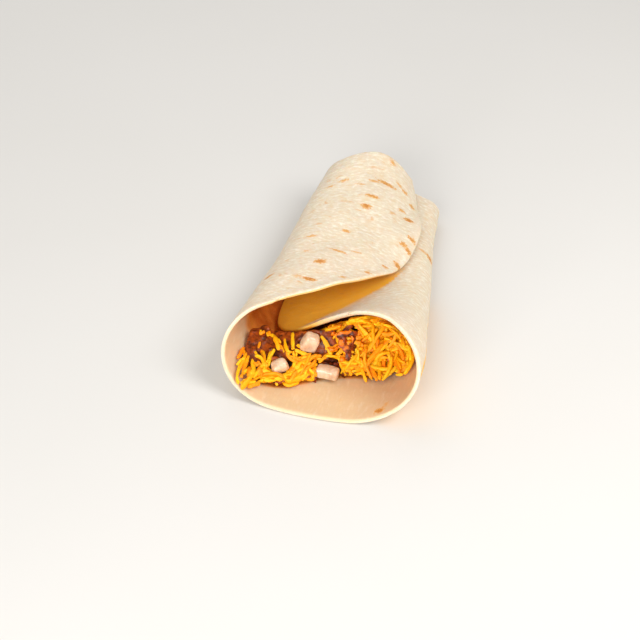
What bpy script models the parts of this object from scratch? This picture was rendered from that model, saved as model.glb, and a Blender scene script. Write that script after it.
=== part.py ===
"""Bean burrito: a flour tortilla rolled round refried beans, shredded cheese and diced onion.

The mouth faces -Y and lies open, the far end is folded in. All sizes are in millimetres until
an object is finished, and the origin ends up under the middle of the roll.
"""

import bmesh
import bpy
import math
import random

import numpy as np
from mathutils import Euler, Matrix, Vector

MILLIMETRE = 0.001

# The flour tortilla, a round disc, and how thick it is
TORTILLA_RADIUS = 130.7
THICKNESS = 2.1
MIDDLE_OFFSET = 7.6          # the roll's floor line lies this far to the left of the disc's middle
FOLD_AT = 65.0               # the far end is folded in here, behind the disc's middle
FOLD_HEM = 6.0               # how far the folded part runs back under the layer that it came from
FOLD_BEND = 2.5              # greatest radius of the fold's bends

# Girth of the roll at six stations along it, from the front lip to the fold
STATIONS = np.array([-130.0, -100.0, -70.0, -30.0, 20.0, 66.0])
FLOOR_LEFT = np.array([20.1, 21.4, 22.6, 22.0, 21.2, 16.8])
TURN_LEFT = np.array([78.6, 69.3, 61.7, 55.4, 54.6, 58.4])
FLOOR_RIGHT = np.array([14.3, 19.5, 23.1, 24.3, 19.4, 18.0])
TURN_RIGHT = np.array([92.0, 72.6, 52.5, 33.0, 25.0, 17.5])
ANGLE_RIGHT = np.radians([178.0, 176.0, 190.0, 188.0, 176.0, 172.0])
# How the flaps curl past those turns, in radians for each millimetre: outer over, inner under
CURL_OUTER = np.array([-3.9, -2.15, 0.0, 1.1, 1.18, 3.4]) / 100
CURL_INNER = np.array([3.0, 2.1, 0.83, 0.1, 0.1, 0.0]) / 100
STEEPEST_DROOP = 0.5         # radians below level, for the inner flap where it lies on the filling
INNER_LEAD = 0.25            # the inner flap runs forward by this much for each millimetre past its turn
LEAD_FROM = 0.9              # counted from this share of the way to that turn's end
LEAD_ENDS = -10.0            # but not behind here
LEAD_LENGTH = 50.0
OUTER_DROOP = 2.0
REACH_INNER = np.array([60.0, 56.0, 64.0, 59.0, 50.0, 38.0])
REACH_SOFTNESS = 10.0
TURN_SOFTNESS = 0.35         # 0 is a round turn, 1 one that starts and ends slowly

# The far end isn't square: it reaches back under the outer flap and comes forward at both sides
END_PEAK_AT = -8.0
END_BACK = 4.0
END_LEFT, END_LEFT_WIDTH = 9.0, 22.0
END_RIGHT, END_RIGHT_WIDTH = 12.0, 44.0
END_FROM, END_LENGTH = 5.0, 60.0

# The folded end is lifted a hair off the surface, so that the roll rests steadily on the rest
BACK_RISE = 0.3
BACK_RISE_FROM, BACK_RISE_LENGTH = 45.0, 10.0

# How deep the folded part lies in the roll: across the end's wall, up the left side and the right
FOLD_UNDER_ROOF = 9.5
FOLD_WALL = (3.0, 12.0)
FOLD_WALL_LEFT, FOLD_WALL_LEFT_WIDTH = 9.0, 12.0
FOLD_WALL_RIGHT, FOLD_WALL_RIGHT_WIDTH = 1.0, 9.0
FOLD_LEFT, FOLD_LEFT_TIP, FOLD_TIP_AT = 5.6, 2.8, -78.0
FOLD_RIGHT, FOLD_RIGHT_TIP = 3.0, 3.5
FOLD_LEFT_WIDTH, FOLD_RIGHT_WIDTH = 22.0, 12.0
FOLD_FADES = 0.22            # near the sheet's rims the fold runs out, over this share of the width
FOLD_LEAST = 0.22

# Soft waves of the outer flap: size, length across, length along, start
WAVES = ((0.45, 41.0, 67.0, 0.6), (0.3, 27.0, -38.0, 2.1))
WAVES_FROM = -60.0
WAVES_BUILD_OVER = 25.0

# Columns across the sheet, and rows of the front half, the back half and the fold
SHEET_GRID = (48, 13, 8, 7)

# Filling
CLEAR = 1.1                  # gap between the tortilla and what it holds
ROOF_CLEAR = 2.4             # and this much more under the flaps
FOOT_AT = -105.0             # where the filling's face meets the floor, on the middle line
FOOT_SLANT = 0.33            # the foot runs back to the right by this much for each millimetre
FACE_SLOPE = 0.72            # the face leans back by this much for each millimetre up
SPILL = 5.0                  # the cheese at the left of the foot has run forward this far
SPILL_AT = -21.0
SPILL_WIDTH = 10.0
SPILL_TOP, SPILL_FADE = 13.0, 10.0
HOLLOW = 2.4                 # at the left the face recedes by this much more for each millimetre up
HOLLOW_FROM = 9.0            # above here, and higher up towards the middle
HOLLOW_RISES = 0.45
HOLLOW_RISES_FROM, HOLLOW_RISES_OVER = -30.0, 14.0
HOLLOW_RIGHT_END = -6.0
HOLLOW_WIDTH = 16.0
LUMPS = ((0.8, 5.3, 0.6, 4.1, 1.3), (0.4, 2.9, 1.57, 3.3, 0.0))
FILLING_END = 46.0           # the filling stops short of the fold
FRONT_CROWDS = 1.5           # the filling's rows of points lie closer together at its front
LEAST_HEIGHT = 0.8           # where the room is lower than this there is no filling
NO_ROOF = 99.0
PLUG_STEPS = 40              # the filling's points are moved to their places in small steps
PLUG_DAMPING = 0.3
CHEESE_FROM = 9.0            # the cheese fills the roll to the right of here
CHEESE_GAP = 1.2
BEANS_BEHIND = 1.1           # the beans' face lies this far behind the shreds that lie on it
CORE_BEHIND = 0.1            # and the cheese's core this far behind its own shreds' middle
FOOT_HEAP_HEIGHT = 11.0      # the cheese that has spilled along the foot of the beans
FOOT_HEAP_DEPTH = 5.5
FOOT_HEAP_LEFT = -39.0
FOOT_HEAP_TAPER = 10.5
FOOT_HEAP_RIGHT = CHEESE_FROM + 5
FOOT_HEAP_FILLS = 0.72       # its share of the height below its top, with waves in it
FOOT_HEAP_WAVE, FOOT_HEAP_WAVE_LENGTH = 0.2, 6.5
FOOT_HEAP_THINS = 0.25       # it is thinner by this share at its top and bottom
BODY_INSET = 0.8             # the beans and the cheese stop this far short of the room's sides
SHREDS_TOP = 34.0

# Shreds of cheese that show
SHRED_WIDTH = 1.9
SHRED_HEIGHT = 1.5
SHRED_LENGTH = (11.0, 25.0)
SHRED_LIFT = (0.0, 1.3)      # how far a shred's middle stands in front of the face
SHRED_SINKS = 0.3            # and how far behind it a straight stretch may cut through a bulge
SHRED_END = 0.7              # how wide its ends are, against its middle
OUT_OF_FACE = Vector((0.0, -1.0, FACE_SLOPE))
SHRED_STEPS = 3
SHRED_COUNT = 64
SHRED_SEED = 10

# Diced onion: place across the roll, height of its middle, sizes, turn in degrees
ONION_DICE = (
    (-9.5, 18.0, (8.0, 6.6, 9.4), (12, 24, 20)),
    (0.5, 6.5, (11.0, 6.5, 6.0), (8, 3, -4)),
    (-21.5, 10.5, (8.0, 6.0, 6.5), (20, -18, 30)),
)
ONION_STANDS_OUT = 1.2       # how far an onion die's middle stands in front of the filling's face
ONION_POCKET = 0.45          # room that the filling leaves round a die
ONION_BEVEL = 1.3


def clear_scene():
    for thing in list(bpy.data.objects):
        bpy.data.objects.remove(thing, do_unlink=True)


def along(values, v):
    """Smooth curve through the stations' values, at the place v along the roll."""
    v = np.asarray(v, float)
    slope = np.gradient(values, STATIONS)
    i = np.clip(np.searchsorted(STATIONS, v) - 1, 0, len(STATIONS) - 2)
    step = STATIONS[i + 1] - STATIONS[i]
    t = np.clip((v - STATIONS[i]) / step, 0, 1)
    near = (1 + 2 * t) * (1 - t) ** 2 * values[i] + t * (1 - t) ** 2 * step * slope[i]
    far = t * t * (3 - 2 * t) * values[i + 1] + t * t * (t - 1) * step * slope[i + 1]
    return near + far


def softer_of(a, b, width):
    """The smaller of two lengths, with a soft change from one to the other."""
    return 0.5 * (a + b - np.sqrt((a - b) ** 2 + width ** 2))


def ease(t):
    t = np.clip(t, 0, 1)
    return t * t * (3 - 2 * t)


def side_profile(u, flat, turn, angle, curl, droop, steps=60):
    """Follows one side of the roll for the arc length u: floor, turn, then the curling flap.

    Returns the place across, the height, and the direction in radians.
    """
    s = np.linspace(0, 1, steps)[:, None] * u[None, :]
    t = np.clip((s - flat) / turn, 0, 1)
    eased = t - np.sin(2 * np.pi * t) / (2 * np.pi)
    heading = angle * ((1 - TURN_SOFTNESS) * t + TURN_SOFTNESS * eased)
    past = curl * np.clip(s - flat - turn, 0, None)
    most = np.pi + droop - angle
    heading = heading + np.where(past > 0, most * np.tanh(past / most), past)
    middle = (heading[1:] + heading[:-1]) / 2
    step = u / (steps - 1)
    return (np.cos(middle) * step).sum(0), (np.sin(middle) * step).sum(0), heading[-1]


def inner_lead(u, v):
    """How far forward the inner flap has slid, at u round the roll."""
    start = LEAD_FROM * (along(FLOOR_RIGHT, v) + along(TURN_RIGHT, v))
    return INNER_LEAD * np.clip(u - start, 0, None) * ease((LEAD_ENDS - v) / LEAD_LENGTH)


def end_line(x, v):
    """How far back the roll reaches past a square end, at the place x across and v along."""
    left = END_LEFT * ease((END_PEAK_AT - x) / END_LEFT_WIDTH)
    right = END_RIGHT * ease((x - END_PEAK_AT) / END_RIGHT_WIDTH)
    return (END_BACK - left - right) * ease((v - END_FROM) / END_LENGTH)


def rolled(u, v):
    """Place and inward normal of the tortilla's middle surface, u round the roll and v along it."""
    u = np.asarray(u, float)
    v = np.asarray(v, float) + 0 * u
    right = side_profile(
        np.abs(u), along(FLOOR_RIGHT, v), along(TURN_RIGHT, v),
        along(ANGLE_RIGHT, v), along(CURL_INNER, v), STEEPEST_DROOP,
    )
    left = side_profile(
        np.abs(u), along(FLOOR_LEFT, v), along(TURN_LEFT, v),
        np.pi + 0 * v, along(CURL_OUTER, v), OUTER_DROOP,
    )
    to_right = u >= 0
    x = np.where(to_right, right[0], -left[0])
    z = np.where(to_right, right[1], left[1]) + THICKNESS / 2
    z = z + BACK_RISE * ease((v - BACK_RISE_FROM) / BACK_RISE_LENGTH)
    heading = np.where(to_right, right[2], -left[2])
    inward = np.stack([-np.sin(heading), 0 * u, np.cos(heading)], -1)
    place = np.stack([x, v - inner_lead(u, v) + end_line(x, v), z], -1)
    wave = sum(
        size * np.sin(u / across * 2 * np.pi + v / length * 2 * np.pi + start)
        for size, across, length, start in WAVES
    )
    lifted = wave * ease((WAVES_FROM - u) / WAVES_BUILD_OVER)
    return place - inward * lifted[..., None], inward


def reach(v):
    """How far the disc runs to the left and to the right of the floor line, at v."""
    chord = np.sqrt(np.clip(TORTILLA_RADIUS ** 2 - v ** 2, 0, None))
    inner = along(FLOOR_RIGHT, v) + along(TURN_RIGHT, v) + along(REACH_INNER, v)
    return chord - MIDDLE_OFFSET, softer_of(chord + MIDDLE_OFFSET, inner, REACH_SOFTNESS)


def disc_place(a, b):
    """Takes the square -1..1 to the disc as far as the fold: the front half round, the rest straight."""
    round_u = a * TORTILLA_RADIUS * np.sqrt(1 - np.minimum(b, 0) ** 2 / 2)
    v = np.where(b < 0, b * TORTILLA_RADIUS * np.sqrt(1 - a ** 2 / 2), b * FOLD_AT)
    chord = np.sqrt(np.clip(TORTILLA_RADIUS ** 2 - v ** 2, 1e-9, None))
    share = np.where(b < 0, round_u / chord, a)
    left, right = reach(v)
    u = MIDDLE_OFFSET + share * np.where(share < 0, left + MIDDLE_OFFSET, right - MIDDLE_OFFSET)
    return u, v, share


def roof_over_floor(x, v):
    """Height of the inner flap's middle surface over the place x on the floor."""
    u = np.linspace(float(along(FLOOR_RIGHT, v) + along(TURN_RIGHT, v) * 0.5), float(reach(v)[1]), 60)
    flap, _ = rolled(u, v)
    order = np.argsort(flap[:, 0])
    return np.interp(x, flap[order, 0], flap[order, 2])


def fold_depth(u):
    """How far the folded part lies inside the layer that it came from."""
    under, over = FLOOR_LEFT[-1], FLOOR_RIGHT[-1] + TURN_RIGHT[-1]
    base, _ = rolled(u, FOLD_AT)
    wall = np.clip(roof_over_floor(base[:, 0], FOLD_AT) - FOLD_UNDER_ROOF, *FOLD_WALL)
    left_part = ease((u + under + FOLD_WALL_LEFT) / FOLD_WALL_LEFT_WIDTH)
    right_part = ease((FLOOR_RIGHT[-1] + FOLD_WALL_RIGHT - u) / FOLD_WALL_RIGHT_WIDTH)
    flat_floor = left_part * right_part
    left_side = FOLD_LEFT + (FOLD_LEFT_TIP - FOLD_LEFT) * ease((FOLD_TIP_AT - u) / FOLD_LEFT_WIDTH)
    right_side = FOLD_RIGHT + (FOLD_RIGHT_TIP - FOLD_RIGHT) * ease((u - over) / FOLD_RIGHT_WIDTH)
    side = np.where(u < 0, left_side, right_side)
    return wall * flat_floor + side * (1 - flat_floor)


def fold_place(u, share, part):
    """The folded end: round the crease, in across the end of the roll, and forward again."""
    base, inward = rolled(u, FOLD_AT)
    depth = fold_depth(u)
    bend = np.minimum(depth / 2, FOLD_BEND)
    wall = depth - 2 * bend
    quarter = bend * np.pi / 2
    fade = FOLD_LEAST + (1 - FOLD_LEAST) * ease((1 - np.abs(share)) / FOLD_FADES)
    s = part * fade * (2 * quarter + wall + FOLD_HEM)
    first = np.clip(s / quarter, 0, 1) * np.pi / 2
    straight = np.clip(s - quarter, 0, wall)
    second = np.clip((s - quarter - wall) / quarter, 0, 1) * np.pi / 2
    hem = np.clip(s - 2 * quarter - wall, 0, None)
    back = bend * (np.sin(first) - (1 - np.cos(second))) - hem
    inside = bend * (1 - np.cos(first)) + straight + bend * np.sin(second)
    return base + inward * inside[:, None] + np.stack([0 * back, back, 0 * back], -1)


def material(name, colour, roughness):
    made = bpy.data.materials.new(name)
    made.use_nodes = True
    shader = made.node_tree.nodes["Principled BSDF"]
    shader.inputs["Base Color"].default_value = (*colour, 1)
    shader.inputs["Roughness"].default_value = roughness
    shader.inputs["Metallic"].default_value = 0
    return made


def new_object(name, mesh, collection, look=None):
    thing = bpy.data.objects.new(name, mesh)
    collection.objects.link(thing)
    if look:
        mesh.materials.append(look)
    return thing


def grid_mesh(name, columns, rows):
    """A flat grid whose points keep their place in the square -1..1."""
    mesh = bpy.data.meshes.new(name)
    shape = bmesh.new()
    bmesh.ops.create_grid(shape, x_segments=columns, y_segments=rows, size=1.0)
    shape.to_mesh(mesh)
    shape.free()
    return mesh


def points_of(mesh):
    flat = np.empty(len(mesh.vertices) * 3, np.float32)
    mesh.vertices.foreach_get("co", flat)
    return flat.reshape(-1, 3).astype(float)


def place_points(mesh, points):
    mesh.vertices.foreach_set("co", np.ascontiguousarray(points, np.float32).ravel())
    mesh.update()


def apply_modifiers(thing):
    graph = bpy.context.evaluated_depsgraph_get()
    done = bpy.data.meshes.new_from_object(thing.evaluated_get(graph))
    thing.modifiers.clear()
    thing.data = done


def boolean(thing, operation, solver, collection):
    step = thing.modifiers.new(operation.title(), "BOOLEAN")
    step.operation = operation
    step.operand_type = "COLLECTION"
    step.collection = collection
    step.solver = solver
    apply_modifiers(thing)


def make_tortilla(collection):
    """One sheet: a grid laid out as the disc, rolled up, folded at the far end, then given its thickness."""
    columns, front_rows, back_rows, fold_rows = SHEET_GRID
    rows = front_rows + back_rows + fold_rows
    mesh = grid_mesh("tortilla", columns, rows)
    square = points_of(mesh)
    a = square[:, 0]
    row = (square[:, 1] + 1) / 2 * rows
    b = np.where(row <= front_rows, row / front_rows - 1, (row - front_rows) / back_rows)
    u, v, share = disc_place(a, np.clip(b, -1, 1))
    place, _ = rolled(u, v)
    folded = row > front_rows + back_rows + 0.5
    part = (row[folded] - front_rows - back_rows) / fold_rows
    place[folded] = fold_place(u[folded], share[folded], part)
    place_points(mesh, place)
    look = material("tortilla", (0.80, 0.68, 0.49), 0.75)
    tortilla = new_object("tortilla", mesh, collection, look)
    shell = tortilla.modifiers.new("Thickness", "SOLIDIFY")
    shell.thickness = THICKNESS
    shell.offset = 0
    shell.use_even_offset = True
    for face in mesh.polygons:
        face.use_smooth = True
    return tortilla


class Inside:
    """The room inside the roll: its lowest and highest height over each place across, at each place along."""

    def __init__(self):
        self.v = np.linspace(-112, FILLING_END + 4, 60)
        self.share = np.linspace(0, 1, 49)
        self.left, self.right, self.low, self.high = [], [], [], []
        for v in self.v:
            self.measure(float(v))
        self.left, self.right = np.array(self.left), np.array(self.right)
        self.low, self.high = np.array(self.low), np.array(self.high)

    def measure(self, v):
        clear = THICKNESS / 2 + CLEAR
        sides = []
        for side in (1, -1):
            end = v
            for _ in range(6):
                edge = side * reach(np.array(end))[side > 0]
                end += v - rolled(edge[None], np.array([end]))[0][0, 1]
            line = np.linspace(0, float(edge), 200)
            disc_v = np.full(200, v)
            for _ in range(6):
                disc_v += v - rolled(line, disc_v)[0][:, 1]
            place, inward = rolled(line, disc_v)
            sides.append(place + inward * clear)
        right, left = sides
        turn_right, turn_left = right[:, 0].argmax(), left[:, 0].argmin()
        x0, x1 = left[turn_left, 0], right[turn_right, 0]
        inner = right[turn_right:][np.argsort(right[turn_right:, 0])]
        outer = left[turn_left:][np.argsort(left[turn_left:, 0])]
        for narrowed in (False, True):
            x = x0 + self.share * (x1 - x0)
            low_right = np.interp(x, right[:turn_right + 1, 0], right[:turn_right + 1, 2])
            low_left = np.interp(x, left[:turn_left + 1, 0][::-1], left[:turn_left + 1, 2][::-1])
            low = np.where(x > 0, low_right, low_left)
            high_right = np.interp(x, inner[:, 0], inner[:, 2])
            high_left = np.interp(x, outer[:, 0], outer[:, 2], right=NO_ROOF)
            high = np.minimum(high_right, high_left) - ROOF_CLEAR
            if not narrowed:
                roomy = x[high - low > LEAST_HEIGHT]
                x0, x1 = roomy[0], roomy[-1]
        self.left.append(x0)
        self.right.append(x1)
        self.low.append(low)
        self.high.append(high)

    def width(self, v):
        return np.interp(v, self.v, self.left), np.interp(v, self.v, self.right)

    def heights(self, x, v):
        """Lowest and highest height at the places x, v, by straight lines between what was measured."""
        x0, x1 = self.width(v)
        at = np.clip((x - x0) / (x1 - x0), 0, 1) * (len(self.share) - 1)
        row = np.clip((v - self.v[0]) / (self.v[1] - self.v[0]), 0, len(self.v) - 1.001)
        i, j = np.clip(at.astype(int), 0, len(self.share) - 2), row.astype(int)
        p, q = at - i, row - j
        found = []
        for table in (self.low, self.high):
            near = table[j, i] * (1 - p) + table[j, i + 1] * p
            far = table[j + 1, i] * (1 - p) + table[j + 1, i + 1] * p
            found.append(near * (1 - q) + far * q)
        return found


def face_at(x, z):
    """How far back the filling's face lies at the place x across and the height z."""
    rise = HOLLOW_RISES * np.clip(x - HOLLOW_RISES_FROM, 0, HOLLOW_RISES_OVER)
    above = np.clip(z - HOLLOW_FROM - rise, 0, None)
    hollow = HOLLOW * above * ease((HOLLOW_RIGHT_END - x) / HOLLOW_WIDTH)
    lumps = sum(
        size * np.sin(x / across + start) * np.sin(z / up + begin)
        for size, across, start, up, begin in LUMPS
    )
    spill = SPILL * np.exp(-((x - SPILL_AT) / SPILL_WIDTH) ** 2) * ease((SPILL_TOP - z) / SPILL_FADE)
    return FOOT_AT + FOOT_SLANT * x + FACE_SLOPE * z + hollow + lumps - spill


def beans_back(x, z):
    """How far the beans' own face lies behind the filling's, where cheese has spilled over them."""
    along_foot = ease((FOOT_HEAP_HEIGHT + 4 - z) / 8)
    return BEANS_BEHIND + (FOOT_HEAP_DEPTH + CHEESE_GAP) * along_foot


def unit_cube(name, across, up, deep):
    """A closed box of squares, with its points in the cube -1..1: x across, y deep, z up."""
    shape = bmesh.new()
    bmesh.ops.create_cube(shape, size=2.0)
    for axis, cuts in ((0, across), (1, deep), (2, up)):
        for step in range(1, cuts):
            normal = Vector([float(axis == k) for k in range(3)])
            bmesh.ops.bisect_plane(
                shape, geom=list(shape.verts) + list(shape.edges) + list(shape.faces),
                plane_co=normal * (2 * step / cuts - 1), plane_no=normal, dist=1e-6,
            )
    mesh = bpy.data.meshes.new(name)
    shape.to_mesh(mesh)
    shape.free()
    return mesh


def plug(mesh, room, from_share, to_share, front, back):
    """Fits a box into the roll between two places across, from its front face to its back."""
    cube = points_of(mesh)
    across = cube[:, 0] * np.sqrt(1 - cube[:, 2] ** 2 / 2)
    up = cube[:, 2] * np.sqrt(1 - cube[:, 0] ** 2 / 2)
    up = np.clip(up / np.sqrt(np.clip(1 - across ** 2, 1e-6, None)), -1, 1)
    depth = ((cube[:, 1] + 1) / 2) ** FRONT_CROWDS
    v = np.full(len(cube), -80.0) + depth * 100

    for step in range(PLUG_STEPS + 1):
        x = from_share(v) + (across + 1) / 2 * (to_share(v) - from_share(v))
        low, high = room.heights(x, v)
        z = low + (up + 1) / 2 * np.clip(high - low, LEAST_HEIGHT, None)
        if step < PLUG_STEPS:
            v += PLUG_DAMPING * (front(x, z) * (1 - depth) + back * depth - v)
    place_points(mesh, np.stack([x, v, z], -1))


def onion_middle(x, z):
    """An onion die sits on the filling's face, a little in front of it."""
    return Vector((x, float(face_at(np.array(x), np.array(z))) - ONION_STANDS_OUT, z))


def make_onions(collection, extra=0.0, prefix="onion_dice_"):
    """Each die is a box with softened edges and slightly unequal sides."""
    look = material("onion", (0.86, 0.76, 0.62), 0.3)
    made = []
    for number, (x, z, sizes, turns) in enumerate(ONION_DICE, 1):
        shape = bmesh.new()
        bmesh.ops.create_cube(shape, size=1.0)
        for corner in shape.verts:
            lean = 1 + 0.09 * math.sin(3.1 * number + 5 * corner.co.x + 2 * corner.co.z)
            corner.co = Vector([c * (size * lean + 2 * extra) for c, size in zip(corner.co, sizes)])
        bmesh.ops.bevel(
            shape, geom=list(shape.edges), offset=ONION_BEVEL, segments=1, profile=0.5, affect="EDGES",
        )
        turn = Euler([math.radians(t) for t in turns]).to_matrix().to_4x4()
        shape.transform(Matrix.Translation(onion_middle(x, z)) @ turn)
        mesh = bpy.data.meshes.new(f"{prefix}{number}")
        shape.to_mesh(mesh)
        shape.free()
        made.append(new_object(f"{prefix}{number}", mesh, collection, look))
    return made


def make_beans(collection, room, pockets):
    """The soft bean filling, from its lumpy face at the mouth through the roll."""
    mesh = unit_cube("refried_beans", 14, 8, 12)
    plug(
        mesh, room,
        lambda v: room.width(v)[0] + BODY_INSET,
        lambda v: np.full_like(v, CHEESE_FROM - CHEESE_GAP / 2),
        lambda x, z: face_at(x, z) + beans_back(x, z),
        FILLING_END,
    )
    beans = new_object("refried_beans", mesh, collection, material("beans", (0.17, 0.06, 0.03), 0.45))
    boolean(beans, "DIFFERENCE", "EXACT", pockets)
    return beans


def make_cheese_core(collection, room):
    """The cheese right of the beans, the full length of the filling, a little inside its shreds."""
    mesh = unit_cube("shredded_cheese", 9, 7, 10)
    plug(
        mesh, room,
        lambda v: np.full_like(v, CHEESE_FROM + CHEESE_GAP / 2),
        lambda v: room.width(v)[1] - BODY_INSET,
        lambda x, z: face_at(x, z) + CORE_BEHIND,
        FILLING_END,
    )
    return new_object("shredded_cheese", mesh, collection, material("cheese", (0.90, 0.42, 0.02), 0.5))


def make_foot_heap(collection, room):
    """The cheese spilled along the foot of the beans, in front of their face."""
    mesh = unit_cube("foot_heap", 14, 4, 2)
    cube = points_of(mesh)
    x = FOOT_HEAP_LEFT + (cube[:, 0] + 1) / 2 * (FOOT_HEAP_RIGHT - FOOT_HEAP_LEFT)
    from_end = np.clip((x - FOOT_HEAP_LEFT + 0.5) / FOOT_HEAP_TAPER, 0, 1)
    taper = np.sqrt(np.clip(1 - (1 - from_end) ** 2, 0.05, 1))
    v = FOOT_AT + FOOT_SLANT * x
    for _ in range(4):
        low, _ = room.heights(x, v)
        waves = FOOT_HEAP_FILLS + FOOT_HEAP_WAVE * np.sin(x / FOOT_HEAP_WAVE_LENGTH)
        tall = (FOOT_HEAP_HEIGHT - low) * waves * taper
        z = low + (cube[:, 2] + 1) / 2 * np.clip(tall, 1.0, None)
        deep = FOOT_HEAP_DEPTH * taper * (1 - FOOT_HEAP_THINS * np.abs(cube[:, 2]))
        v = face_at(x, z) + CORE_BEHIND + (cube[:, 1] + 1) / 2 * deep
    place_points(mesh, np.stack([x, v, z], -1))
    return new_object("foot_heap", mesh, collection)


def strip_mesh(name, line):
    """A shred is a four-sided strip along a short bent line of points, a little thinner at its ends."""
    mesh = unit_cube(name, len(line) - 1, 1, 1)
    places = []
    for along_strip, side_way, top_way in points_of(mesh):
        i = round((along_strip + 1) / 2 * (len(line) - 1))
        ahead = (line[min(i + 1, len(line) - 1)] - line[max(i - 1, 0)]).normalized()
        side = ahead.cross(OUT_OF_FACE).normalized()
        thin = SHRED_END if i in (0, len(line) - 1) else 1.0
        across = side * (side_way * SHRED_WIDTH / 2 * thin)
        up = side.cross(ahead) * (top_way * SHRED_HEIGHT / 2 * thin)
        places.append(line[i] + across + up)
    place_points(mesh, np.array(places))
    return mesh


def face_point(x, z, lift):
    """A point in front of the filling's face, further out where a shred crosses the bare beans."""
    bare = ease((z - FOOT_HEAP_HEIGHT + 2) / 3) * ease((CHEESE_FROM + 3 - x) / 3)
    return Vector((x, float(face_at(np.array(x), np.array(z))) - lift - BEANS_BEHIND * float(bare), z))


def free_of(point, room, dice):
    """True where a shred's middle line may run: inside the tortilla, off the onions, before the beans."""
    low, high = room.heights(np.array([point.x]), np.array([point.y]))
    left, right = room.width(point.y)
    inside = low[0] + SHRED_HEIGHT / 2 < point.z < high[0] - SHRED_WIDTH
    between = left + 1.5 * SHRED_WIDTH < point.x < right - 1.2 * SHRED_WIDTH
    sunk = point.x < CHEESE_FROM + 2 and point.y > face_point(point.x, point.z, -SHRED_SINKS).y
    return inside and between and not sunk and all((point - middle).length > size for middle, size in dice)


def make_shreds(collection, room):
    """Shreds lie across the cheese that shows: thick to the right, along the foot, a few over the beans."""
    draw = random.Random(SHRED_SEED)
    dice = [(onion_middle(x, z), max(sizes) * 0.5 + SHRED_WIDTH) for x, z, sizes, _ in ONION_DICE]
    made = []
    for place in range(20 * SHRED_COUNT):
        if len(made) == SHRED_COUNT:
            break
        if place % 2:
            x, z = draw.uniform(CHEESE_FROM - 4, 38), draw.uniform(2.5, SHREDS_TOP)
            turn = draw.uniform(0, math.pi)
        else:
            x, z = draw.uniform(FOOT_HEAP_LEFT + 3, CHEESE_FROM + 4), draw.uniform(2.5, FOOT_HEAP_HEIGHT)
            turn = draw.gauss(0, 0.45)
        length = draw.uniform(*SHRED_LENGTH)
        bend = draw.uniform(-0.02, 0.02)
        lift = draw.uniform(*SHRED_LIFT)
        line = []
        for step in range(SHRED_STEPS + 1):
            s = (step / SHRED_STEPS - 0.5) * length
            side = bend * s * s
            across = s * math.cos(turn) - side * math.sin(turn)
            up = (s * math.sin(turn) + side * math.cos(turn)) * OUT_OF_FACE.normalized().y * -1
            line.append(face_point(x + across, z + up, lift))
        halfway = [(one + two) / 2 for one, two in zip(line, line[1:])]
        if all(free_of(point, room, dice) for point in line + halfway):
            made.append(new_object(f"shred_{len(made)}", strip_mesh("shred", line), collection))
    return made


def keep_largest(thing):
    """Drops what a join has left loose or sealed inside."""
    shape = bmesh.new()
    shape.from_mesh(thing.data)
    unseen = set(shape.faces)
    shells = []
    while unseen:
        front = [unseen.pop()]
        shell = []
        while front:
            face = front.pop()
            shell.append(face)
            for edge in face.edges:
                beside = [other for other in edge.link_faces if other in unseen]
                unseen.difference_update(beside)
                front.extend(beside)
        shells.append(shell)
    shells.sort(key=len)
    loose = [face for shell in shells[:-1] for face in shell]
    bmesh.ops.delete(shape, geom=loose, context="FACES")
    shape.to_mesh(thing.data)
    shape.free()


def finish(parts):
    """Moves the model's origin to the middle of its foot and takes it from millimetres to metres."""
    graph = bpy.context.evaluated_depsgraph_get()
    corners = []
    for part in parts:
        mesh = part.evaluated_get(graph).to_mesh()
        corners.append(points_of(mesh))
        part.evaluated_get(graph).to_mesh_clear()
    every = np.concatenate(corners)
    low, high = every.min(0), every.max(0)
    shift = np.array([(low[0] + high[0]) / 2, (low[1] + high[1]) / 2, low[2]])
    print("shift in millimetres", np.round(shift, 3), "size", np.round(high - low, 2))
    for part in parts:
        place_points(part.data, (points_of(part.data) - shift) * MILLIMETRE)
        for step in part.modifiers:
            step.thickness = step.thickness * MILLIMETRE


def main():
    clear_scene()
    burrito = bpy.data.collections.new("bean_burrito")
    cutters = bpy.data.collections.new("cutters")
    fused = bpy.data.collections.new("fused")
    for collection in (burrito, cutters, fused):
        bpy.context.scene.collection.children.link(collection)
    tortilla = make_tortilla(burrito)
    room = Inside()
    onions = make_onions(burrito)
    pockets = make_onions(cutters, extra=ONION_POCKET, prefix="pocket_")
    for pocket in pockets:
        pocket.hide_render = True
        pocket.display_type = "WIRE"
    beans = make_beans(burrito, room, cutters)
    cheese = make_cheese_core(burrito, room)
    make_foot_heap(fused, room)
    make_shreds(fused, room)
    boolean(cheese, "UNION", "EXACT", fused)
    boolean(cheese, "DIFFERENCE", "MANIFOLD", cutters)
    keep_largest(cheese)
    for extra in list(fused.objects):
        bpy.data.objects.remove(extra, do_unlink=True)
    for pocket in pockets:
        bpy.data.objects.remove(pocket, do_unlink=True)
    finish([tortilla, beans, cheese, *onions])


main()
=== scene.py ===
"""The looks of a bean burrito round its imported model: tortilla, beans, cheese, onion and sauce.

The roll lies along Y with its open mouth towards -Y, on a pale floor at z = 0. Lengths are in
millimetres while a piece is worked out and in metres once it is in its mesh.
"""

import math
import random

import bpy
import numpy as np
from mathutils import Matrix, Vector, bvhtree, kdtree, noise


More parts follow.
